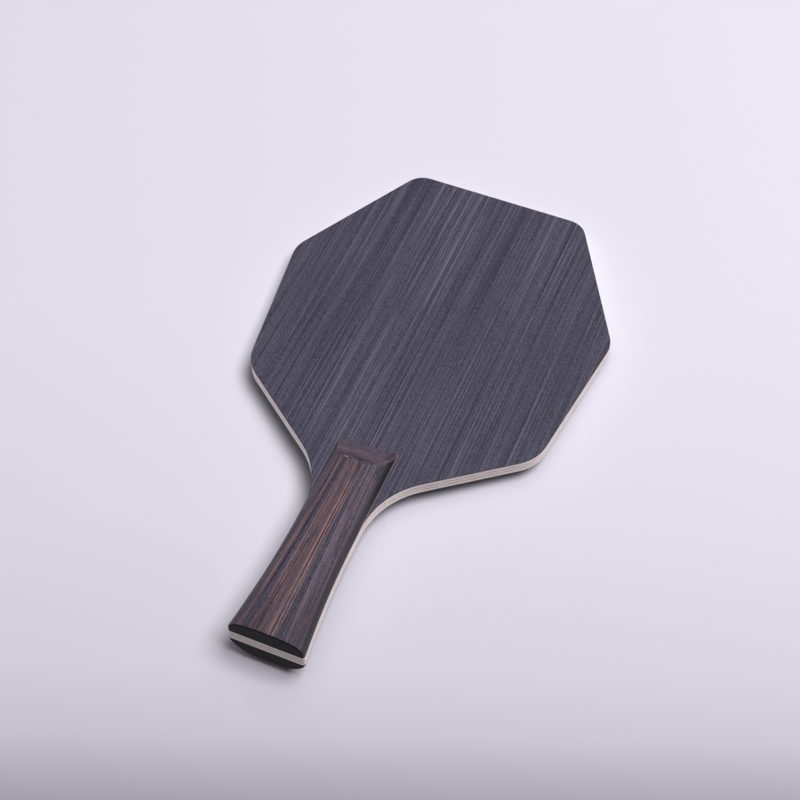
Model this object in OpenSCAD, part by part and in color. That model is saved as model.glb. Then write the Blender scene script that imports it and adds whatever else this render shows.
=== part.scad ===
// Table tennis blade: a bare seven-layer wooden blade with a flared handle.
// Frame: origin at the middle of the butt end, halfway through the blade.
// +Y runs from the butt end to the far edge of the head, +Z out of the front face.

/* [Head] */
// Length from the butt end to the far edge of the head
blade_length = 253.4; // [245:0.2:265]
// Length of the straight far edge, measured between its sharp corners
far_edge_width = 82; // [70:1:95]
// Width of the head, measured between the sharp corners at its widest
head_width = 152.1; // [146:0.5:160]
// Distance from the butt end to the widest corners
widest_at = 190.2; // [180:0.5:200]
// Width between the sharp corners where the head starts to narrow to the neck
lower_width = 133.6; // [125:0.5:142]
// Distance from the butt end to those lower corners
lower_at = 120.8; // [115:0.5:128]
// Angle between the neck's edges and the long axis, in degrees
neck_angle = 52.9; // [48:0.5:58]
// Radius of the two far corners
far_corner_r = 10; // [4:0.5:14]
// Radius of the two widest corners
side_corner_r = 14; // [6:0.5:20]
// Radius of the two lower corners
lower_corner_r = 18; // [8:0.5:24]
// Radius of the curve from the neck's edge into the handle
neck_r = 36; // [25:1:40]

/* [Layers] */
// Thickness of each dark face veneer
face_t = 0.4; // [0.3:0.05:0.8]
// Thickness of each pale ply under a face veneer
medial_t = 1.6; // [1:0.05:1.8]
// Thickness of each woven fibre layer
fibre_t = 0.22; // [0.15:0.01:0.3]
// Thickness of the core ply in the middle
core_t = 1.86; // [1.5:0.02:3.2]

/* [Handle] */
// Length of the handle scales
handle_length = 100; // [96:0.5:104]
// Width of the handle at its narrowest, which it keeps up to the head end
waist_width = 25.6; // [24:0.2:28]
// Distance from the butt end to where the flare starts
waist_at = 56; // [45:1:60]
// Width of the flared handle at the butt end
butt_width = 32.8; // [31:0.2:35]
// Radius of the two upright corners at the butt end
butt_corner_r = 1.25; // [1.25:0.25:3]
// Height of each scale above the face veneer, along its middle line
scale_h = 8.4; // [7:0.1:10]
// Radius of the gently arched top of each scale
crown_r = 60; // [45:1:90]
// Height of the upright side wall of each scale
side_wall_h = 2; // [1.5:0.1:3.5]
// Width of the bevel along each side of a scale, seen from the front
shoulder_w = 3.7; // [2.5:0.1:4.5]
// Slope of the side bevels, in degrees
shoulder_angle = 52; // [45:1:58]
// Slope of the bevel at the head end of each scale, in degrees
end_angle = 31.5; // [28:0.5:45]
// Depth that each scale is let into its face veneer
seat_depth = 0.1; // [0.05:0.05:0.2]

/* [Hidden] */
$fn = 360;

// How far a cutting shape reaches past the solid that it cuts
past = 2;

// Heights of the layer boundaries above the middle of the blade
fibre_z = core_t / 2;
medial_z = fibre_z + fibre_t;
face_z = medial_z + medial_t;
blade_z = face_z + face_t;

// Flare: a circular arc from the waist to the butt end, centred beside the handle
waist_half = waist_width / 2;
flare_out = (butt_width - waist_width) / 2;
flare_r = (flare_out * flare_out + waist_at * waist_at) / (2 * flare_out);
flare_centre = [waist_half + flare_r, waist_at];

// Rounded corner at the butt end, touching both the flare and the end
butt_round = [
    flare_centre[0] - sqrt(pow(flare_r + butt_corner_r, 2) - pow(waist_at - butt_corner_r, 2)),
    butt_corner_r
];
flare_start = flare_centre + flare_r * unit(butt_round - flare_centre);

// Sharp corners of the right-hand half of the outline
waist = [waist_half, waist_at];
lower_corner = [lower_width / 2, lower_at];
side_corner = [head_width / 2, widest_at];
far_corner = [far_edge_width / 2, blade_length];
neck_corner = [waist_half, lower_at - (lower_corner[0] - waist_half) / tan(neck_angle)];

// Each rounded corner: the corner before it, the corner itself, the one after it, its radius
neck = [waist, neck_corner, lower_corner, neck_r];
convex_corners = [
    [neck_corner, lower_corner, side_corner, lower_corner_r],
    [lower_corner, side_corner, far_corner, side_corner_r],
    [side_corner, far_corner, [0, blade_length], far_corner_r]
];

function unit(v) = v / norm(v);
function mirrored(points) = [for (i = [len(points) - 1 : -1 : 0]) [-points[i][0], points[i][1]]];

// Where a rounded corner leaves each of its two sides, and the centre of its arc
function to_before(c) = unit(c[0] - c[1]);
function to_after(c) = unit(c[2] - c[1]);
function half_angle(c) = acos(to_before(c) * to_after(c)) / 2;
function arc_start(c) = c[1] + to_before(c) * c[3] / tan(half_angle(c));
function arc_end(c) = c[1] + to_after(c) * c[3] / tan(half_angle(c));
function arc_centre(c) = c[1] + unit(to_before(c) + to_after(c)) * c[3] / sin(half_angle(c));

// Draws its children on the right and, mirrored, on the left
module both_sides() {
    children();
    mirror([1, 0, 0]) children();
}

module disc(centre, r) {
    translate(centre) circle(r);
}

// The hollow of the flare, beside the handle between the butt corner and the waist
module flare_hollow() {
    intersection() {
        disc(flare_centre, flare_r);
        translate([0, flare_start[1]]) square([butt_width, waist_at - flare_start[1]]);
    }
}

// Outline shared by all seven layers of the blade
module blade_outline() {
    right = concat(
        [[butt_round[0], 0], flare_start, waist, arc_start(neck), arc_end(neck)],
        [for (c = convex_corners) each [arc_start(c), arc_end(c)]]
    );
    difference() {
        union() {
            polygon(concat(right, mirrored(right)));
            both_sides() {
                disc(butt_round, butt_corner_r);
                for (c = convex_corners) disc(arc_centre(c), c[3]);
            }
        }
        both_sides() {
            disc(arc_centre(neck), neck_r);
            flare_hollow();
        }
    }
}

// Outline of a handle scale: flush with the blade along the handle, square at the head end
module scale_outline() {
    right = [[butt_width, -past], [butt_width, waist_at], waist, [waist_half, handle_length]];
    intersection() {
        blade_outline();
        polygon(concat(right, mirrored(right)));
    }
}

module ply(bottom_z, thickness) {
    translate([0, 0, bottom_z]) linear_extrude(thickness) blade_outline();
}

// Face veneer with the shallow seat that its handle scale is glued into
module face_veneer() {
    difference() {
        ply(face_z, face_t);
        translate([0, 0, blade_z - seat_depth]) linear_extrude(seat_depth + past) scale_outline();
    }
}

// Section of the wood taken off one side of a scale; x = 0 is its upright wall
module shoulder_section() {
    rise = shoulder_w * tan(shoulder_angle);
    slope = tan(shoulder_angle);
    polygon([
        [-past, side_wall_h - past * slope],
        [shoulder_w + past, side_wall_h + rise + past * slope],
        [-past, side_wall_h + rise + past * slope]
    ]);
}

// Bevel along the right-hand side: bent round the flare, then straight to the head end
module shoulder_cut() {
    flare_angle = asin((waist_at + past) / flare_r);
    translate([flare_centre[0], flare_centre[1], blade_z])
        rotate([0, 0, 180])
            rotate_extrude(angle = flare_angle)
                translate([flare_r, 0]) shoulder_section();
    translate([waist_half, waist_at, blade_z])
        rotate([90, 0, 180])
            linear_extrude(handle_length - waist_at + past) shoulder_section();
}

// Wood taken off above the sloping head end of a scale
module end_cut() {
    translate([-waist_width, handle_length, blade_z])
        rotate([-end_angle, 0, 0])
            translate([0, -2 * handle_length, 0])
                cube([2 * waist_width, 3 * handle_length, 2 * handle_length]);
}

// Plain block of the scale's outline, with its bevels cut
module bevelled_block() {
    difference() {
        translate([0, 0, blade_z - seat_depth])
            linear_extrude(seat_depth + scale_h + past) scale_outline();
        both_sides() shoulder_cut();
        end_cut();
    }
}

// Handle scale: bevelled sides and head end under a gently arched top
module handle_scale() {
    intersection() {
        bevelled_block();
        translate([0, -past, blade_z + scale_h - crown_r])
            rotate([-90, 0, 0]) cylinder(h = handle_length + 2 * past, r = crown_r);
    }
}

module front_face_veneer() {
    color("#53505f") face_veneer();
}

module front_medial_ply() {
    color("#c9bdbb") ply(medial_z, medial_t);
}

module front_fibre_layer() {
    color("#8f8482") ply(fibre_z, fibre_t);
}

module core_ply() {
    color("#b9adab") ply(-core_t / 2, core_t);
}

module back_fibre_layer() {
    color("#8f8482") mirror([0, 0, 1]) ply(fibre_z, fibre_t);
}

module back_medial_ply() {
    color("#c9bdbb") mirror([0, 0, 1]) ply(medial_z, medial_t);
}

module back_face_veneer() {
    color("#53505f") mirror([0, 0, 1]) face_veneer();
}

module front_handle_scale() {
    color("#54464d") handle_scale();
}

module back_handle_scale() {
    color("#54464d") mirror([0, 0, 1]) handle_scale();
}

front_face_veneer();
front_medial_ply();
front_fibre_layer();
core_ply();
back_fibre_layer();
back_medial_ply();
back_face_veneer();
front_handle_scale();
back_handle_scale();
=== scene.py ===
"""A bare table tennis blade: seven thin layers of wood and fibre, and two dark wooden handle scales.

Everything is in metres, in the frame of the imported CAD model: the origin is the middle of the butt end,
+Y runs to the far edge of the head and +Z out of the front face. Each layer and scale is built here as a
clean mesh with softened edges, from the outlines and boxes of the CAD nodes, and stands for its node.
"""

import math

import bmesh
import bpy
from mathutils import Matrix, Vector


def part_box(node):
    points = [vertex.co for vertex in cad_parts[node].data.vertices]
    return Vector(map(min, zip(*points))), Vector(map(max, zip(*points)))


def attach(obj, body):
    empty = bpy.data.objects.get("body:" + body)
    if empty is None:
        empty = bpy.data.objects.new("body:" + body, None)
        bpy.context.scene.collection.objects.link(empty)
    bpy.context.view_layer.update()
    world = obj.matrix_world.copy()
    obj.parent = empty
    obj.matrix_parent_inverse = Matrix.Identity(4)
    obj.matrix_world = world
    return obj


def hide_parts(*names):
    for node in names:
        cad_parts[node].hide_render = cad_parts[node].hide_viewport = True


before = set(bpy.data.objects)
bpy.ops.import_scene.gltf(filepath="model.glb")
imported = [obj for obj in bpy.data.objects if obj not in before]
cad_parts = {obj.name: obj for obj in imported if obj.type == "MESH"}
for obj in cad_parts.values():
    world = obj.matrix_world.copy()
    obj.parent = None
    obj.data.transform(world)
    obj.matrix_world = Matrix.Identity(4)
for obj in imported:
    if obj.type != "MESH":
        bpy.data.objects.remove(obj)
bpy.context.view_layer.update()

MM = 0.001

# ---------------------------------------------------------------- sizes taken from the frame
SCALE_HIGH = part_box("front_handle_scale")[1]
VENEER_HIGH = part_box("front_face_veneer")[1]
BLADE_TOP = VENEER_HIGH.z
BLADE_LENGTH = VENEER_HIGH.y
HANDLE_LENGTH = SCALE_HIGH.y
SCALE_HEIGHT = SCALE_HIGH.z - BLADE_TOP

# ---------------------------------------------------------------- sizes of the softened shapes
CURVE_STEPS = 3  # points that replace each corner of a faceted curve
SHARPEST_CURVE = math.radians(30)  # a corner that turns more than this stays a corner
CLOSEST_POINTS = 0.01 * MM  # a curve's point that is nearer than this to the last one is left out
RIM_EASING = 0.26 * MM  # rounding of the head's outer edges
LAYER_EASING = 0.035 * MM  # hairline that sanding leaves between two layers
RIM_STEPS = 5  # facets across such a rounding
NECK_STARTS = 62 * MM
EASING_GROWS = 12 * MM  # length over which the rounding grows, beyond where the neck starts

# A scale's section: radius of its arched top, and height of its upright wall and lean of the shoulder
# where it leaves that wall, each at the butt end and at the waist
FRONT_ARCH = {"crown": 60 * MM, "walls": (0.8 * MM, 0), "leans": (math.radians(5), math.radians(2))}
BACK_ARCH = {"crown": 60 * MM, "walls": (0, 0), "leans": (math.radians(20), math.radians(18))}
SHOULDER_GROWS = (14 * MM, 48 * MM)  # where the section turns from the butt's into the waist's
BUTT_CORNER = 1.25 * MM  # upright corners at the butt end
BUTT_EASING = 0.8 * MM  # rounding of a scale's top edge at the butt end
BEVEL_SLOPE = math.tan(math.radians(31.5))  # slope of a scale's head end
BEVEL_BULGE = 0.35 * MM  # how far that slope stands out in its middle
BEVEL_FOOT = 0.15 * MM  # thickness left at the foot of that slope
BEVEL_LENGTH = 14 * MM  # length of the scale that the bevel and its finer rows take up
MITRE_BLEND = 0.45 * MM  # softness of the ridges between the bevel and the shoulders

# Facets of a scale across each shoulder and half the crown, along its three stretches and down its walls
SHOULDER_COLUMNS = 22
CROWN_COLUMNS = 6
BUTT_ROWS = 12
BODY_ROWS = 44
BEVEL_ROWS = 56
WALL_RINGS = 4
SHARP_EDGE = math.radians(38)  # an edge that turns more than this is shaded as sharp


# ---------------------------------------------------------------- outlines
def smooth_step(value, start, end):
    """0 before start, 1 after end, and a soft ramp in between."""
    t = min(max((value - start) / (end - start), 0), 1)
    return t * t * (3 - 2 * t)


def faceted_outline(node, height):
    """Corners of the CAD node's flat face at that height, in order."""
    tiny = 0.001 * MM
    shape = bmesh.new()
    shape.from_mesh(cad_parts[node].data)
    bmesh.ops.remove_doubles(shape, verts=shape.verts, dist=2 * tiny)
    flat = {face for face in shape.faces if all(abs(v.co.z - height) < tiny for v in face.verts)}
    rim = [
        loop
        for face in flat
        for loop in face.loops
        if len(flat.intersection(loop.edge.link_faces)) == 1
    ]
    following = {loop.vert: loop.link_loop_next.vert for loop in rim}
    first = min(following, key=lambda vert: (vert.co.y, vert.co.x))
    corners = [first.co.xy.copy()]
    vert = following[first]
    while vert is not first:
        corners.append(vert.co.xy.copy())
        vert = following[vert]
    shape.free()
    return corners


def curved_outline(corners):
    """The same outline with its facets turned into smooth curves, running counter-clockwise."""
    points = []
    for before, corner, after in zip(corners[-1:] + corners[:-1], corners, corners[1:] + corners[:1]):
        back, on = before - corner, after - corner
        if math.pi - back.angle(on) > SHARPEST_CURVE:
            points.append(corner)
            continue
        reach = min(back.length, on.length) / 2
        start = corner + back.normalized() * reach
        end = corner + on.normalized() * reach
        for step in range(CURVE_STEPS + 1):
            t = step / CURVE_STEPS
            point = start * (1 - t) ** 2 + corner * 2 * t * (1 - t) + end * t**2
            if not points or (point - points[-1]).length > CLOSEST_POINTS:
                points.append(point)
    if (points[0] - points[-1]).length < CLOSEST_POINTS:
        points.pop()
    area = sum(a.cross(b) for a, b in zip(points, points[1:] + points[:1]))
    return points if area > 0 else points[::-1]


def inward(points):
    """For each point of a counter-clockwise outline, the step to one unit inside both its sides."""
    directions = []
    for before, point, after in zip(points[-1:] + points[:-1], points, points[1:] + points[:1]):
        side = (point - before).normalized().orthogonal() + (after - point).normalized().orthogonal()
        side.normalize()
        directions.append(side / side.dot((after - point).normalized().orthogonal()))
    return directions


# ---------------------------------------------------------------- pieces
PIECES = []  # every shown piece, for the lights that reach only the blade


def add_piece(node, points, faces, material):
    """A shown mesh that stands for a CAD node, which it hides, hung from the root body."""
    mesh = bpy.data.meshes.new(node)
    mesh.from_pydata([tuple(p) for p in points], [], faces)
    mesh.validate()
    mesh.shade_smooth()
    mesh.set_sharp_from_angle(angle=SHARP_EDGE)
    mesh.materials.append(material)
    piece = bpy.data.objects.new(node + "_piece", mesh)
    bpy.context.scene.collection.objects.link(piece)
    weighted = piece.modifiers.new("flat faces stay flat", "WEIGHTED_NORMAL")
    weighted.keep_sharp = True
    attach(piece, "root")
    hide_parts(node)
    PIECES.append(piece)
    return piece


def bridge(first, second):
    """Quads between two closed rings of point numbers."""
    return [(first[i - 1], first[i], second[i], second[i - 1]) for i in range(len(first))]


def rim_easing(y):
    """Rounding of the blade's outer edge: none to speak of beside the handle, soft round the head."""
    grown = smooth_step(y, NECK_STARTS, NECK_STARTS + EASING_GROWS)
    return LAYER_EASING + (RIM_EASING - LAYER_EASING) * grown


def hairline(y):
    """Rounding of an edge where two layers meet, the same all round."""
    return LAYER_EASING


def build_layer(node, outline, material, easing_below=hairline, easing_above=hairline):
    """One layer of the blade: its outline between two heights, with both rims rounded."""
    low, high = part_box(node)
    ways = inward(outline)
    turns = [math.pi / 2 * step / RIM_STEPS for step in range(RIM_STEPS + 1)]
    profile = [(easing_below, low.z, 1, turn) for turn in turns]
    profile += [(easing_above, high.z, -1, turn) for turn in reversed(turns)]
    points = []
    rings = []
    for easing, level, up, turn in profile:
        rings.append(range(len(points), len(points) + len(outline)))
        for point, way in zip(outline, ways):
            radius = easing(point.y)
            place = point + way * radius * (1 - math.sin(turn))
            points.append((place.x, place.y, level + up * radius * (1 - math.cos(turn))))
    faces = [tuple(reversed(rings[0])), tuple(rings[-1])]
    for lower, upper in zip(rings, rings[1:]):
        faces += bridge(lower, upper)
    return add_piece(node, points, faces, material)


class ScaleShape:
    """Height of a handle scale above its face veneer, as a smooth function of x and y."""

    def __init__(self, outline, crown, walls, leans):
        self.crown = crown
        self.walls = walls
        self.leans = leans
        self.edge = sorted((p for p in outline if p.x > 0), key=lambda p: (p.y, p.x))
        flare_from, flare_to = self.half_width(2 * BUTT_CORNER), self.half_width(3 * BUTT_CORNER)
        self.low_slope = (flare_to - flare_from) / BUTT_CORNER

    def half_width(self, y):
        """Half the width of the scale at y, read off its outline."""
        for before, after in zip(self.edge, self.edge[1:]):
            if y <= after.y and after.y > before.y:
                length = after.y - before.y
                return before.x + (after.x - before.x) * (max(y, before.y) - before.y) / length
        return self.edge[-1].x

    def side(self, y):
        """Half the width without the rounding of the butt corners."""
        if y > 2 * BUTT_CORNER:
            return self.half_width(y)
        return self.half_width(2 * BUTT_CORNER) - self.low_slope * (2 * BUTT_CORNER - y)

    def shoulder(self, y):
        """Radius and centre of the round shoulder, which leans off the wall and touches the arch."""
        grown = smooth_step(y, *SHOULDER_GROWS)
        wall, lean = (start + (end - start) * grown for start, end in (self.walls, self.leans))
        side = self.side(y)
        reach = wall + self.crown - SCALE_HEIGHT
        short = self.crown - side * math.cos(lean) - reach * math.sin(lean)
        radius = (self.crown**2 - side**2 - reach**2) / (2 * short)
        return radius, side - radius * math.cos(lean), wall - radius * math.sin(lean)

    def section(self, x, y):
        """Arched top and round shoulders, which touch each other smoothly."""
        radius, centre_x, centre_z = self.shoulder(y)
        across = abs(x)
        if across <= self.crown * centre_x / (self.crown - radius):
            return SCALE_HEIGHT - self.crown + math.sqrt(self.crown**2 - x**2)
        return centre_z + math.sqrt(max(radius**2 - (across - centre_x) ** 2, 0))

    def bevel(self, y):
        """Slightly bulging slope of the head end."""
        run = HANDLE_LENGTH - y
        bulge = BEVEL_BULGE * math.sin(math.pi * min(run / BEVEL_LENGTH, 1))
        return BEVEL_FOOT + run * BEVEL_SLOPE + bulge

    def butt_rounding(self, x, y):
        """How far the top edge at the butt end is rounded down; it fades out round the corners."""
        radius = BUTT_EASING * (1 - smooth_step(y, 0, BUTT_CORNER))
        distance = y
        from_side = self.side(y) - abs(x)
        if from_side < BUTT_CORNER and y < BUTT_CORNER:
            distance = BUTT_CORNER - math.hypot(BUTT_CORNER - from_side, BUTT_CORNER - y)
        short = min(max(radius - distance, 0), radius)
        return radius - math.sqrt(radius**2 - short**2)

    def height(self, x, y):
        """The lower of section and bevel, with the ridge between them softened."""
        top, slope = self.section(x, y), self.bevel(y)
        overlap = max(MITRE_BLEND - abs(top - slope), 0)
        softened = min(top, slope) - overlap**2 / (4 * MITRE_BLEND)
        return max(softened - self.butt_rounding(x, y), BEVEL_FOOT / 2)

    def columns(self, y):
        """Positions across a row, closest together on the shoulders, as shares of the half width."""
        radius, centre_x, _ = self.shoulder(y)
        side = self.side(y)
        touch = math.asin(centre_x / (self.crown - radius))
        last = math.acos(min(max((side - centre_x) / radius, -1), 1))
        span = math.pi / 2 - last - touch
        turns = [touch + span * i / SHOULDER_COLUMNS for i in range(SHOULDER_COLUMNS + 1)]
        shoulder = [(centre_x + radius * math.sin(turn)) / side for turn in turns]
        crown = [shoulder[0] * i / CROWN_COLUMNS for i in range(CROWN_COLUMNS)]
        right = crown + shoulder
        return [-share for share in reversed(right[1:])] + right

    def rows(self):
        """Positions along the scale, closest together at both ends."""
        bevel_from = HANDLE_LENGTH - BEVEL_LENGTH
        corner = [BUTT_CORNER * (1 - math.cos(math.pi / 2 * i / BUTT_ROWS)) for i in range(BUTT_ROWS)]
        body = [BUTT_CORNER + (bevel_from - BUTT_CORNER) * i / BODY_ROWS for i in range(BODY_ROWS)]
        bevel = [bevel_from + BEVEL_LENGTH * i / BEVEL_ROWS for i in range(BEVEL_ROWS + 1)]
        return corner + body + bevel


def scale_top(shape, glued, face_up):
    """Points of a scale's top, and a grid of their numbers with a row for each place along it."""
    points = []
    grid = []
    for y in shape.rows():
        row = []
        for share in shape.columns(y):
            x = share * shape.half_width(y)
            row.append(len(points))
            points.append((x, y, glued + face_up * shape.height(x, y)))
        grid.append(row)
    return points, grid


def scale_walls(points, ring, glued):
    """Adds the upright walls' points below a ring. Returns the walls' faces and their lowest ring."""
    top = ring
    faces = []
    for step in range(1, WALL_RINGS + 1):
        drop = step / WALL_RINGS
        below = []
        for number in top:
            x, y, z = points[number]
            below.append(len(points))
            points.append((x, y, z + (glued - z) * drop))
        faces += bridge(below, ring)
        ring = below
    return faces, ring


def build_scale(node, material, face_up, arch):
    """A handle scale: softened top, walls and flat glued face. face_up is 1 in front, -1 behind."""
    low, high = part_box(node)
    cad_glued = low.z if face_up > 0 else high.z
    shape = ScaleShape(curved_outline(faceted_outline(node, cad_glued)), **arch)
    glued = face_up * BLADE_TOP
    points, grid = scale_top(shape, glued, face_up)
    faces = [
        (lower[i], lower[i + 1], upper[i + 1], upper[i])
        for lower, upper in zip(grid, grid[1:])
        for i in range(len(lower) - 1)
    ]
    right = [row[-1] for row in grid[1:]]
    left = [row[0] for row in grid[-2:0:-1]]
    walls, bottom = scale_walls(points, grid[0] + right + grid[-1][-2::-1] + left, glued)
    faces += walls
    faces.append(tuple(reversed(bottom)))
    if face_up < 0:
        faces = [tuple(reversed(face)) for face in faces]
    return add_piece(node, points, faces, material)


# ---------------------------------------------------------------- materials
def tone(code):
    """Linear colour of a hexadecimal sRGB code."""
    channels = [int(code[i:i + 2], 16) / 255 for i in (1, 3, 5)]
    return [c / 12.92 if c <= 0.04045 else ((c + 0.055) / 1.055) ** 2.4 for c in channels] + [1]


# Steps that keep the noises of different materials, and those within a material, apart along x, y and z
SEED_STEP = (7.31, 5.77, 2.93)
SHIFT_STEP = (3.17, 9.43, 6.71)


class Surface:
    """A material being wired up, with short calls that add its nodes."""

    def __init__(self, name, seed=0):
        self.material = bpy.data.materials.new(name)
        self.material.use_nodes = True
        self.tree = self.material.node_tree
        self.shader = self.tree.nodes["Principled BSDF"]
        self.point = self.add("ShaderNodeTexCoord").outputs["Object"]
        self.x, self.y, self.z = self.add("ShaderNodeSeparateXYZ", self.point).outputs
        self.seed = seed

    def add(self, kind, *values, **settings):
        """A node with these settings, its first inputs wired or set to the values."""
        node = self.tree.nodes.new(kind)
        for name, value in settings.items():
            setattr(node, name, value)
        for socket, value in zip(node.inputs, values):
            self.plug(value, socket)
        return node

    def plug(self, value, socket):
        if isinstance(value, bpy.types.NodeSocket):
            self.tree.links.new(value, socket)
        else:
            socket.default_value = value

    def sum(self, *values):
        total = values[0]
        for value in values[1:]:
            total = self.add("ShaderNodeMath", total, value, operation="ADD").outputs[0]
        return total

    def times(self, a, b):
        return self.add("ShaderNodeMath", a, b, operation="MULTIPLY").outputs[0]

    def minus(self, a, b):
        return self.add("ShaderNodeMath", a, b, operation="SUBTRACT").outputs[0]

    def over(self, a, b):
        return self.add("ShaderNodeMath", a, b, operation="DIVIDE").outputs[0]

    def power(self, a, b):
        return self.add("ShaderNodeMath", a, b, operation="POWER").outputs[0]

    def size(self, a):
        return self.add("ShaderNodeMath", a, operation="ABSOLUTE").outputs[0]

    def sine(self, a):
        return self.add("ShaderNodeMath", a, operation="SINE").outputs[0]

    def larger(self, a, b):
        return self.add("ShaderNodeMath", a, b, operation="MAXIMUM").outputs[0]

    def rise(self, value, start, end):
        """0 at start, 1 at end, with a soft ramp in between; start may be above end."""
        limits = (start, end, 0.0, 1.0)
        node = self.add("ShaderNodeMapRange", value, *limits, interpolation_type="SMOOTHSTEP")
        return node.outputs[0]

    def noise(self, size_mm, detail=2.0, roughness=0.5, shift=0, place=None):
        """Noise about 0.5 whose blotches have these sizes along x, y and z, in millimetres."""
        scale = [1 / (s * MM) for s in size_mm]
        offset = [self.seed * a + shift * b for a, b in zip(SEED_STEP, SHIFT_STEP)]
        place = place or self.point
        moved = self.add("ShaderNodeVectorMath", place, scale, offset, operation="MULTIPLY_ADD")
        node = self.add("ShaderNodeTexNoise", moved.outputs[0])
        node.inputs["Scale"].default_value = 1
        node.inputs["Detail"].default_value = detail
        node.inputs["Roughness"].default_value = roughness
        return node.outputs[0]

    def sway(self, noise, amount):
        """Noise turned into a signed amount."""
        return self.times(self.minus(noise, 0.5), amount)

    def join(self, x, y, z):
        return self.add("ShaderNodeCombineXYZ", x, y, z).outputs[0]

    def ramp(self, value, stops):
        """Colour at a value from 0 to 1, between stops of a position and a colour code each."""
        node = self.add("ShaderNodeValToRGB", value)
        ramp = node.color_ramp
        ramp.elements[0].position, ramp.elements[1].position = stops[0][0], stops[-1][0]
        for position, _ in stops[1:-1]:
            ramp.elements.new(position)
        for element, (_, code) in zip(ramp.elements, stops):
            element.color = tone(code)
        return node.outputs[0]

    def mix(self, share, a, b, blend="MIX"):
        node = self.add("ShaderNodeMix", data_type="RGBA", blend_type=blend)
        self.plug(share, node.inputs[0])
        self.plug(tone(a) if isinstance(a, str) else a, node.inputs[6])
        self.plug(tone(b) if isinstance(b, str) else b, node.inputs[7])
        return node.outputs[2]

    def finish(self, colour, roughness, relief=None, depth=0.0, sheen=0.3):
        """Plugs the colour, roughness and relief in, and returns the material."""
        self.plug(colour, self.shader.inputs["Base Color"])
        self.plug(roughness, self.shader.inputs["Roughness"])
        self.plug(sheen, self.shader.inputs["Specular IOR Level"])
        if relief is not None:
            bump = self.add("ShaderNodeBump")
            bump.inputs["Strength"].default_value = 1
            bump.inputs["Distance"].default_value = depth
            self.plug(relief, bump.inputs["Height"])
            self.plug(bump.outputs[0], self.shader.inputs["Normal"])
        return self.material


def stained_veneer(name, seed):
    """Face veneer: blue-grey stain over a fine straight grain, with pale hairlines and dark pores."""
    s = Surface(name, seed)
    bend = s.sway(s.noise((40, 120, 1000), 1), 1.0 * MM)
    place = s.join(s.sum(s.x, bend), s.y, s.z)
    broad = s.noise((16, 600, 1000), 2, shift=1, place=place)
    bands = s.noise((1.1, 260, 1000), 2, 0.6, shift=2, place=place)
    lines = s.noise((0.28, 90, 1000), 1, 0.5, shift=3, place=place)
    fibres = s.noise((0.24, 1.3, 1000), 2, 0.7, shift=4, place=place)
    value = s.sum(0.5, s.sway(broad, 0.03), s.sway(bands, 0.12), s.sway(lines, 1.3), s.sway(fibres, 1.9))
    colour = s.ramp(value, [(0.0, "#232229"), (0.35, "#393842"), (0.55, "#474651"), (1.0, "#6a6875")])
    warm = s.rise(s.noise((3.5, 120, 1000), 1, shift=10, place=place), 0.5, 0.8)
    colour = s.mix(s.times(warm, 0.2), colour, "#554c54")
    groups = s.rise(s.noise((4, 300, 1000), 1, shift=7, place=place), 0.0, 0.8)
    hairlines = s.rise(s.noise((0.3, 240, 1000), 0, shift=6, place=place), 0.6, 0.68)
    broken = s.rise(s.noise((0.5, 25, 1000), 2, 0.6, shift=11, place=place), 0.3, 0.55)
    pale = s.times(s.times(groups, hairlines), broken)
    colour = s.mix(s.times(pale, 0.85), colour, "#82808d")
    seams = s.rise(s.noise((0.5, 500, 1000), 0, shift=12, place=place), 0.3, 0.24)
    colour = s.mix(s.times(seams, 0.6), colour, "#2b2932")
    pores = s.times(
        s.rise(s.noise((0.25, 5, 1000), 1, shift=8, place=place), 0.66, 0.76),
        s.rise(s.noise((6, 60, 1000), 1, shift=9, place=place), 0.4, 0.65),
    )
    colour = s.mix(s.times(pores, 0.5), colour, "#24222a")
    facing = s.add("ShaderNodeNewGeometry").outputs["True Normal"]
    upright = s.add("ShaderNodeSeparateXYZ", facing).outputs["Z"]
    colour = s.mix(s.rise(s.size(upright), 0.95, 0.5), colour, "#151318")
    relief = s.sum(s.sway(lines, 0.5), s.sway(fibres, 0.6), s.times(pores, -0.8), s.times(pale, 0.2))
    roughness = s.sum(0.58, s.sway(fibres, 0.25), s.sway(bands, 0.15))
    return s.finish(colour, roughness, relief, 0.03 * MM, sheen=0.3)


def pale_ply(name, seed, size_mm, light, dark):
    """Raw pale wood, sanded at the edge, with fibres of that size and small open pores."""
    s = Surface(name, seed)
    fibres = s.noise(size_mm, 3, 0.65, shift=1)
    clouds = s.noise((6, 6, 2), 2, shift=2)
    pores = s.rise(s.noise([d * 0.8 for d in size_mm], 1, shift=3), 0.64, 0.74)
    value = s.sum(0.5, s.sway(fibres, 0.9), s.sway(clouds, 0.6))
    colour = s.mix(s.rise(value, 0.15, 0.85), dark, light)
    colour = s.mix(s.times(pores, 0.4), colour, "#8a766c")
    relief = s.sum(s.sway(fibres, 0.7), s.times(pores, -1.0))
    return s.finish(colour, s.sum(0.72, s.sway(fibres, 0.2)), relief, 0.05 * MM, sheen=0.25)


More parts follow.
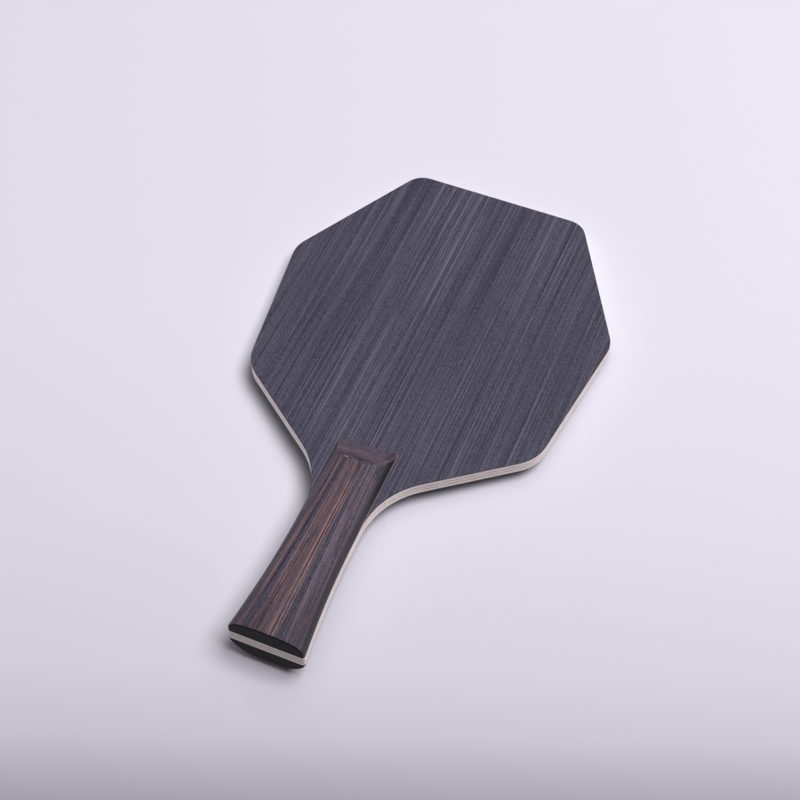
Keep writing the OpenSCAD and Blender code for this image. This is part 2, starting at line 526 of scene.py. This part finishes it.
def woven_fibre(name, seed):
    """Cloth seen from its cut edge: dark yarn ends a little apart, in a line of pale glue."""
    s = Surface(name, seed)
    yarn = 1.7 * MM
    turn = 2 * math.pi / yarn
    wobble = s.sway(s.noise((4, 4, 4), 2, shift=1), 0.9 * MM)
    crosswise = s.sine(s.times(s.sum(s.x, wobble), turn))
    lengthwise = s.sine(s.times(s.sum(s.y, wobble), turn))
    over_under = s.times(crosswise, lengthwise)
    threads = s.noise((0.3, 0.3, 0.1), 2, 0.6, shift=2)
    dark = s.rise(s.sum(over_under, s.sway(threads, 1.6)), -0.05, 0.35)
    colour = s.mix(dark, "#a2938a", "#3a302a")
    return s.finish(colour, 0.6, s.sum(threads, s.times(dark, -0.5)), 0.03 * MM, sheen=0.3)


# Places on a handle scale, along y from the butt end, along x from the middle, and above the face veneer
STRIPES_CENTRE = 1.5 * MM  # x of the line that the stripes spread about
STRIPES_SPREAD_FROM = 87 * MM  # y at which they start to spread
STRIPES_SPREAD_OVER = 84 * MM
STRIPES_ACROSS = 32 * MM  # width that the stops of the stripes cover
LAYERS_REPEAT = 8 * MM  # height that the growth layers on the bevel cover
LOW_SIDES_DARKEN = (6.6 * MM, 3.0 * MM)  # heights between which the sides turn dark, downwards
BUTT_SHADE = (45 * MM, 0.0)  # y between which painted shade darkens the wood towards the butt end, where the light falls off
RIGHT_DULLS = (7 * MM, 12 * MM)  # x between which the right side turns duller
RUBBED_AND_LIT_ALONG = (56 * MM, 66 * MM)  # y between which the pale line starts: wood rubbed bare, and a painted highlight where the light catches the lower edge
RUBBED_AND_LIT_ACROSS = (12.0 * MM, 12.5 * MM)  # x between which it starts
RUBBED_AND_LIT_HEIGHT = (0.75 * MM, 0.4 * MM)  # heights between which it starts, downwards
END_GRAIN = (0.5 * MM, 0.15 * MM)  # y between which the butt end's grain takes over
END_ARCH = 120 * MM  # how flat the arches of that grain are

BEVEL_LAYERS = [
    (0.0, "#51474d"),
    (0.1, "#5f545b"),
    (0.25, "#645b64"),
    (0.38, "#5c5863"),
    (0.48, "#5f545c"),
    (0.6, "#6f5f63"),
    (0.8, "#65575c"),
    (0.93, "#4a4249"),
]
END_LAYERS = [(0.0, "#141215"), (0.8, "#161417"), (0.9, "#0b0a0c"), (1.0, "#1e1b1f")]


def striped_hardwood(name, seed, streaks, stops, marks, facing):
    """Dark oiled hardwood whose stripes spread with the flare, cut across at the butt end and head end.

    streaks holds each reddish streak's place across the waist, its width (both in mm) and its strength.
    marks holds each blotch's middle and half sizes along x and y (in mm), its strength and its colour.
    facing is 1 for the front scale and -1 for the back one.
    """
    s = Surface(name, seed)
    height = s.minus(s.times(s.z, facing), BLADE_TOP)
    across = place_across_stripes(s)
    place = s.join(across, s.y, s.times(height, 0.6))
    lines = s.noise((0.42, 60, 0.9), 2, 0.6, shift=2, place=place)
    fibres = s.noise((0.25, 4, 0.3), 2, 0.7, shift=3, place=place)
    specks = s.noise((1.1, 1.4, 0.5), 3, 0.7, shift=31)

    colour = striped_ground(s, across, place, lines, fibres, stops)
    colour = add_streaks(s, colour, across, place, fibres, streaks)
    slope_height = s.times(s.minus(HANDLE_LENGTH, s.y), BEVEL_SLOPE)
    on_bevel = s.rise(s.minus(slope_height, height), 0.55 * MM, 0.05 * MM)
    colour = s.mix(on_bevel, colour, growth_layers(s, height, specks))
    grain = s.noise((0.3, 0.9, 0.4), 2, 0.7, shift=4, place=place)
    colour = s.mix(s.times(s.rise(grain, 0.5, 0.75), 0.45), colour, "#857b86")
    colour = s.mix(s.times(s.rise(grain, 0.5, 0.25), 0.55), colour, "#201c22")
    colour = darken_sides_and_shade_butt(s, colour, height, specks, on_bevel)
    colour = rub_and_light_edge(s, colour, height)
    colour = add_marks(s, colour, specks, marks)
    end_grain = s.rise(s.y, *END_GRAIN)
    colour = s.mix(end_grain, colour, oiled_end_grain(s, height))

    pores = s.rise(s.noise((0.2, 2.6, 0.25), 1, shift=33, place=place), 0.68, 0.76)
    colour = s.mix(s.times(pores, 0.5), colour, "#1b181d")
    relief = s.sum(s.sway(lines, 0.5), s.sway(fibres, 0.5), s.times(pores, -1.0))
    roughness = s.sum(0.5, s.sway(fibres, 0.25), s.times(pores, 0.2))
    return s.finish(colour, roughness, relief, 0.04 * MM, sheen=s.minus(0.3, s.times(end_grain, 0.22)))


def place_across_stripes(s):
    """Distance from the stripes' centre line, as if they didn't spread towards the butt end."""
    past_start = s.over(s.minus(STRIPES_SPREAD_FROM, s.y), STRIPES_SPREAD_OVER)
    towards_butt = s.power(s.larger(past_start, 0.0), 1.7)
    spread = s.sum(0.9, s.times(towards_butt, 0.5))
    bend = s.sway(s.noise((11, 55, 14), 2, 0.55), 1.1 * MM)
    return s.over(s.sum(s.minus(s.x, STRIPES_CENTRE), bend), spread)


def striped_ground(s, across, place, lines, fibres, stops):
    """Blue-grey and purple-brown stripes from the stops, broken up by long noise."""
    bands = s.noise((1.4, 90, 2.5), 3, 0.6, shift=1, place=place)
    stripe = s.sum(s.over(across, STRIPES_ACROSS), 0.5, s.sway(bands, 0.07))
    colour = s.ramp(stripe, stops)
    colour = s.mix(s.times(s.rise(bands, 0.45, 0.68), 0.55), colour, "#64575c")
    colour = s.mix(s.times(s.rise(lines, 0.56, 0.42), 0.85), colour, "#1b181e")
    colour = s.mix(s.times(s.rise(lines, 0.56, 0.7), 0.5), colour, "#84747a")
    return s.mix(s.times(s.rise(fibres, 0.5, 0.75), 0.4), colour, "#7b7077")


def add_streaks(s, colour, across, place, fibres, streaks):
    """Reddish streaks, each fading in and out along the handle."""
    for number, (where, width, strength) in enumerate(streaks):
        distance = s.size(s.minus(across, where * MM))
        core = s.rise(distance, width * MM, 0.15 * width * MM)
        breaks = s.rise(s.noise((0.4, 30, 2), 2, 0.6, shift=10 + number, place=place), 0.36, 0.55)
        red = s.ramp(fibres, [(0.3, "#866256"), (0.7, "#b88c7a")])
        colour = s.mix(s.times(s.times(core, breaks), strength), colour, red)
    return colour


def growth_layers(s, height, specks):
    """Flat growth layers that the bevel cuts through, so that they show as wavy bands."""
    wave = s.sum(
        s.sway(s.noise((9, 30, 30), 2, 0.55, shift=30), 2.2 * MM),
        s.sway(s.noise((1.5, 5, 5), 2, 0.6, shift=34), 0.5 * MM),
    )
    layers = s.ramp(s.over(s.sum(height, wave), LAYERS_REPEAT), BEVEL_LAYERS)
    layers = s.mix(s.times(s.rise(specks, 0.48, 0.68), 0.6), layers, "#322d33")
    layers = s.mix(s.times(s.rise(specks, 0.48, 0.3), 0.4), layers, "#8d7d80")
    thread_place = s.join(s.x, s.y, s.sum(height, s.times(wave, 0.5)))
    threads = s.noise((4, 30, 0.28), 2, 0.6, shift=35, place=thread_place)
    return s.mix(s.times(s.rise(threads, 0.5, 0.35), 0.6), layers, "#332c32")


def darken_sides_and_shade_butt(s, colour, height, specks, on_bevel):
    """Darker low on the sides and towards the right, with brown specks low on the sides, and painted
    shade towards the butt end.
    """
    low = s.rise(height, *LOW_SIDES_DARKEN)
    # darker low on the sides, away from the bevel
    colour = s.mix(s.times(low, s.minus(1.0, on_bevel)), colour, "#9a949a", "MULTIPLY")
    speckled = s.times(s.times(low, s.rise(specks, 0.48, 0.72)), s.minus(0.3, s.times(on_bevel, 0.3)))
    colour = s.mix(speckled, colour, "#5e5257")
    # painted shade: darker towards the butt end, where the light falls off
    colour = s.mix(s.times(s.rise(s.y, *BUTT_SHADE), 0.25), colour, "#221e23")
    return s.mix(s.rise(s.x, *RIGHT_DULLS), colour, "#dad5d8", "MULTIPLY")


def rub_and_light_edge(s, colour, height):
    """Pale line low on the right wall near the head end: bare wood where the oil is rubbed off, and a
    painted highlight where the light catches the wall's lower edge.
    """
    rubbed_and_lit = s.times(s.rise(s.y, *RUBBED_AND_LIT_ALONG), s.rise(s.x, *RUBBED_AND_LIT_ACROSS))
    # pale colour of bare wood, with a painted highlight along the lit lower edge
    bare = s.times(s.rise(height, *RUBBED_AND_LIT_HEIGHT), rubbed_and_lit)
    return s.mix(s.times(bare, 0.85), colour, "#c2a49c")


def add_marks(s, colour, specks, marks):
    """Ragged blotches."""
    for x, y, half_x, half_y, strength, code in marks:
        far_x = s.over(s.minus(s.x, x * MM), half_x * MM)
        far_y = s.over(s.minus(s.y, y * MM), half_y * MM)
        distance = s.power(s.sum(s.times(far_x, far_x), s.times(far_y, far_y)), 0.5)
        inside = s.rise(s.sum(distance, s.sway(specks, 2.2)), 1.0, 0.55)
        colour = s.mix(s.times(inside, strength), colour, code)
    return colour


def oiled_end_grain(s, height):
    """End grain at the butt, which soaks up the oil and turns nearly black, in arched layers."""
    arched = s.sum(height, s.times(s.power(s.size(s.x), 2.0), 1 / END_ARCH))
    ends = s.ramp(s.over(arched, SCALE_HEIGHT), END_LAYERS)
    patches = s.rise(s.noise((0.5, 5, 0.5), 3, 0.7, shift=32), 0.5, 0.8)
    return s.mix(s.times(patches, 0.5), ends, "#3a3034")


# Stripes of the front scale, from left to right: share of STRIPES_ACROSS, and colour
FRONT_STOPS = [
    (0.0, "#40373d"),
    (0.12, "#544a50"),
    (0.2, "#4e444c"),
    (0.25, "#4a4856"),
    (0.34, "#4b4957"),
    (0.42, "#524851"),
    (0.55, "#544a54"),
    (0.6, "#4b4854"),
    (0.67, "#4b4855"),
    (0.72, "#524953"),
    (0.8, "#4c454f"),
    (0.86, "#37323a"),
    (0.93, "#2f2a30"),
    (1.0, "#2a262b"),
]
# Reddish streaks of each scale: place across the waist and width, in millimetres, and strength
FRONT_STREAKS = [
    (-8.9, 0.6, 0.75),
    (-8.1, 0.3, 0.4),
    (-5.2, 0.7, 0.4),
    (-4.1, 0.45, 0.7),
    (-3.1, 0.35, 0.6),
    (-2.3, 0.3, 0.55),
    (-1.5, 0.3, 0.55),
    (-0.8, 0.28, 0.6),
    (0.0, 0.45, 1.0),
    (1.3, 0.45, 1.0),
    (2.2, 0.28, 0.5),
    (5.1, 0.8, 0.25),
    (7.6, 0.4, 0.35),
    (10.0, 0.3, 0.25),
]
# Blotches beside the bevel: x, y, half sizes along x and y, all in millimetres, strength and colour
FRONT_MARKS = [
    (-4.4, 86.6, 1.7, 0.35, 0.9, "#a57f76"),
    (-0.6, 86.4, 1.2, 0.3, 0.8, "#9b776f"),
    (1.6, 87.5, 1.7, 0.4, 0.9, "#121013"),
    (11.0, 86.5, 1.7, 5.5, 0.8, "#151216"),
]
BACK_STREAKS = [
    (-9.2, 0.4, 0.4),
    (-6.6, 0.4, 0.5),
    (-4.1, 0.3, 0.6),
    (-1.9, 0.45, 0.9),
    (-0.7, 0.3, 0.5),
    (0.4, 0.3, 0.6),
    (3.1, 0.45, 0.75),
    (5.2, 0.3, 0.4),
    (8.8, 0.45, 0.7),
]


# ---------------------------------------------------------------- the object
def build_blade():
    """The seven layers, from front to back. They share the core ply's outline."""
    outline = curved_outline(faceted_outline("core_ply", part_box("core_ply")[1].z))
    medial = ((2.2, 0.25, 0.25), "#f3e9e0", "#ded2c8")
    core = ((0.3, 2.6, 0.3), "#ede4da", "#d2c5ba")
    build_layer("front_face_veneer", outline, stained_veneer("front_veneer", 1), easing_above=rim_easing)
    build_layer("front_medial_ply", outline, pale_ply("front_pale_ply", 2, *medial))
    build_layer("front_fibre_layer", outline, woven_fibre("front_fibre", 3))
    build_layer("core_ply", outline, pale_ply("core_ply_wood", 4, *core))
    build_layer("back_fibre_layer", outline, woven_fibre("back_fibre", 5))
    build_layer("back_medial_ply", outline, pale_ply("back_pale_ply", 6, *medial))
    build_layer("back_face_veneer", outline, stained_veneer("back_veneer", 7), easing_below=rim_easing)


def build_handle():
    """The two scales. The back one has its own streaks, and the front one's stripes mirrored."""
    front = striped_hardwood("front_hardwood", 8, FRONT_STREAKS, FRONT_STOPS, FRONT_MARKS, 1)
    mirrored = [(1 - share, code) for share, code in reversed(FRONT_STOPS)]
    back = striped_hardwood("back_hardwood", 9, BACK_STREAKS, mirrored, [], -1)
    build_scale("front_handle_scale", front, 1, FRONT_ARCH)
    build_scale("back_handle_scale", back, -1, BACK_ARCH)


# ---------------------------------------------------------------- floor, light and camera
LIGHT_TINT = (0.91, 0.875, 1.0)
WORLD_LIGHT = 0.045  # what the surroundings add to the light
WORLD_SEEN = 0.72  # how pale they look to the camera
# Each light: the way to it from the blade's middle, its distance and width in metres, its power in watts
LIGHTS_FOR_ALL = {
    "key": ((0.375, 0.0, 0.927), 2.6, 1.3, 53),
    "side": ((0.187, 0.324, 0.927), 2.6, 1.3, 5),
    "overhead": ((0.0, 0.0, 1.0), 1.6, 2.2, 6.5),
}
LIGHTS_FOR_BLADE = {
    "left_wall": ((-0.977, -0.172, 0.122), 2.0, 0.44, 13),
    "right_wall": ((0.87, 0.478, 0.122), 2.0, 0.44, 12.5),
}
# Where the camera is, and which ways its right, its top and its back face
CAMERA_AT = Vector((0.1603, -0.2445, 0.5447))
CAMERA_RIGHT = Vector((0.9216, 0.388, -0.0027))
CAMERA_UP = Vector((-0.3096, 0.7396, 0.5977))
CAMERA_BACK = Vector((0.2339, -0.55, 0.8018))
CAMERA_LENS = 71.466  # focal length in millimetres, for Blender's usual 36 mm sensor
FLOOR_SIZE = 8.0
FLOOR_AWAY = (-0.363, 0.932, 0)  # way in which the floor's tone changes, away from the viewer
FLOOR_NEAR = -0.058  # where the tones start and end along it
FLOOR_FAR = 0.38
FLOOR_RECOVERS = 0.2  # how quickly the tones turn pale again on the viewer's side
FLOOR_FADES = 0.75  # distances at which the floor starts to melt away and is gone
FLOOR_GONE = 1.5
# Tones of the floor's painted shade, where the light falls off towards the viewer, from near to far:
# share of the way between FLOOR_NEAR and FLOOR_FAR, and colour
FLOOR_SHADE_TONES = [
    (0.0, "#acacac"),
    (0.018, "#b9b9b9"),
    (0.041, "#c7c7c7"),
    (0.068, "#d7d7d7"),
    (0.132, "#e4e4e4"),
    (0.29, "#efefef"),
    (0.54, "#f6f6f6"),
    (1.0, "#fafafa"),
]


def build_floor():
    """Table top under the blade, which rests on the far edge of its head and the back scale's bevel."""
    far_point = Vector((0, BLADE_LENGTH, -BLADE_TOP))
    plateau = HANDLE_LENGTH - SCALE_HEIGHT / BEVEL_SLOPE
    near_point = Vector((0, plateau, -SCALE_HIGH.z))
    along = (far_point - near_point).normalized()
    up = Vector((1, 0, 0)).cross(along)
    turn = Matrix((Vector((1, 0, 0)), along, up)).transposed().to_4x4()
    half = FLOOR_SIZE / 2
    mesh = bpy.data.meshes.new("floor")
    corners = [(-half, -half, 0), (half, -half, 0), (half, half, 0), (-half, half, 0)]
    mesh.from_pydata(corners, [], [(0, 1, 2, 3)])
    floor = bpy.data.objects.new("floor", mesh)
    floor.matrix_world = Matrix.Translation(near_point) @ turn
    bpy.context.scene.collection.objects.link(floor)
    mesh.materials.append(pale_floor())


def pale_floor():
    """Matt pale sheet with painted shade: a darker band near the viewer, where the light falls off. It
    melts into the surroundings far away.
    """
    s = Surface("pale_floor")
    world = s.add("ShaderNodeNewGeometry").outputs["Position"]
    distance = s.add("ShaderNodeVectorMath", world, FLOOR_AWAY, operation="DOT_PRODUCT").outputs["Value"]
    share = s.over(s.sum(distance, -FLOOR_NEAR), FLOOR_FAR - FLOOR_NEAR)
    # painted shade: the floor turns darker near the viewer, where the light falls off
    colour = s.ramp(s.larger(share, s.times(share, -FLOOR_RECOVERS)), FLOOR_SHADE_TONES)
    away = s.add("ShaderNodeVectorMath", world, operation="LENGTH").outputs["Value"]
    s.plug(s.rise(away, FLOOR_GONE, FLOOR_FADES), s.shader.inputs["Alpha"])
    return s.finish(colour, 0.75, sheen=0.1)


def add_area_light(name, towards, distance, size, power, only=None):
    """A square soft light that hangs in that direction from the middle of the blade and faces it.

    only is a collection of the objects that it lights; without it the light reaches everything.
    """
    lamp = bpy.data.lights.new(name, "AREA")
    lamp.shape = "SQUARE"
    lamp.size = size
    lamp.energy = power
    lamp.color = LIGHT_TINT
    light = bpy.data.objects.new(name, lamp)
    target = Vector((0, BLADE_LENGTH / 2, 0))
    light.location = target + Vector(towards).normalized() * distance
    light.rotation_mode = "QUATERNION"
    light.rotation_quaternion = (light.location - target).to_track_quat("Z", "Y")
    light.visible_camera = False
    if only is not None:
        light.light_linking.receiver_collection = only
    bpy.context.scene.collection.objects.link(light)


def light_surroundings():
    """Even surroundings, which look paler to the camera than the light that they give."""
    world = bpy.data.worlds.new("studio")
    world.use_nodes = True
    background = world.node_tree.nodes["Background"]
    background.inputs["Color"].default_value = (*LIGHT_TINT, 1)
    seen = world.node_tree.nodes.new("ShaderNodeLightPath").outputs["Is Camera Ray"]
    strength = world.node_tree.nodes.new("ShaderNodeMapRange")
    strength.inputs["To Min"].default_value = WORLD_LIGHT
    strength.inputs["To Max"].default_value = WORLD_SEEN
    world.node_tree.links.new(seen, strength.inputs["Value"])
    world.node_tree.links.new(strength.outputs[0], background.inputs["Strength"])
    bpy.context.scene.world = world


def add_lights():
    """Soft lights above everything, and two low ones that reach only the blade."""
    blade = bpy.data.collections.new("blade_pieces")
    for piece in PIECES:
        blade.objects.link(piece)
    for name, light in LIGHTS_FOR_ALL.items():
        add_area_light(name, *light)
    for name, light in LIGHTS_FOR_BLADE.items():
        add_area_light(name, *light, only=blade)
    bpy.context.scene.view_settings.view_transform = "Standard"


def add_camera():
    data = bpy.data.cameras.new("camera")
    data.lens = CAMERA_LENS
    camera = bpy.data.objects.new("camera", data)
    turn = Matrix((CAMERA_RIGHT, CAMERA_UP, CAMERA_BACK)).transposed().to_4x4()
    camera.matrix_world = Matrix.Translation(CAMERA_AT) @ turn
    bpy.context.scene.collection.objects.link(camera)
    bpy.context.scene.camera = camera


build_blade()
build_handle()
build_floor()
light_surroundings()
add_lights()
add_camera()

bpy.context.view_layer.update()
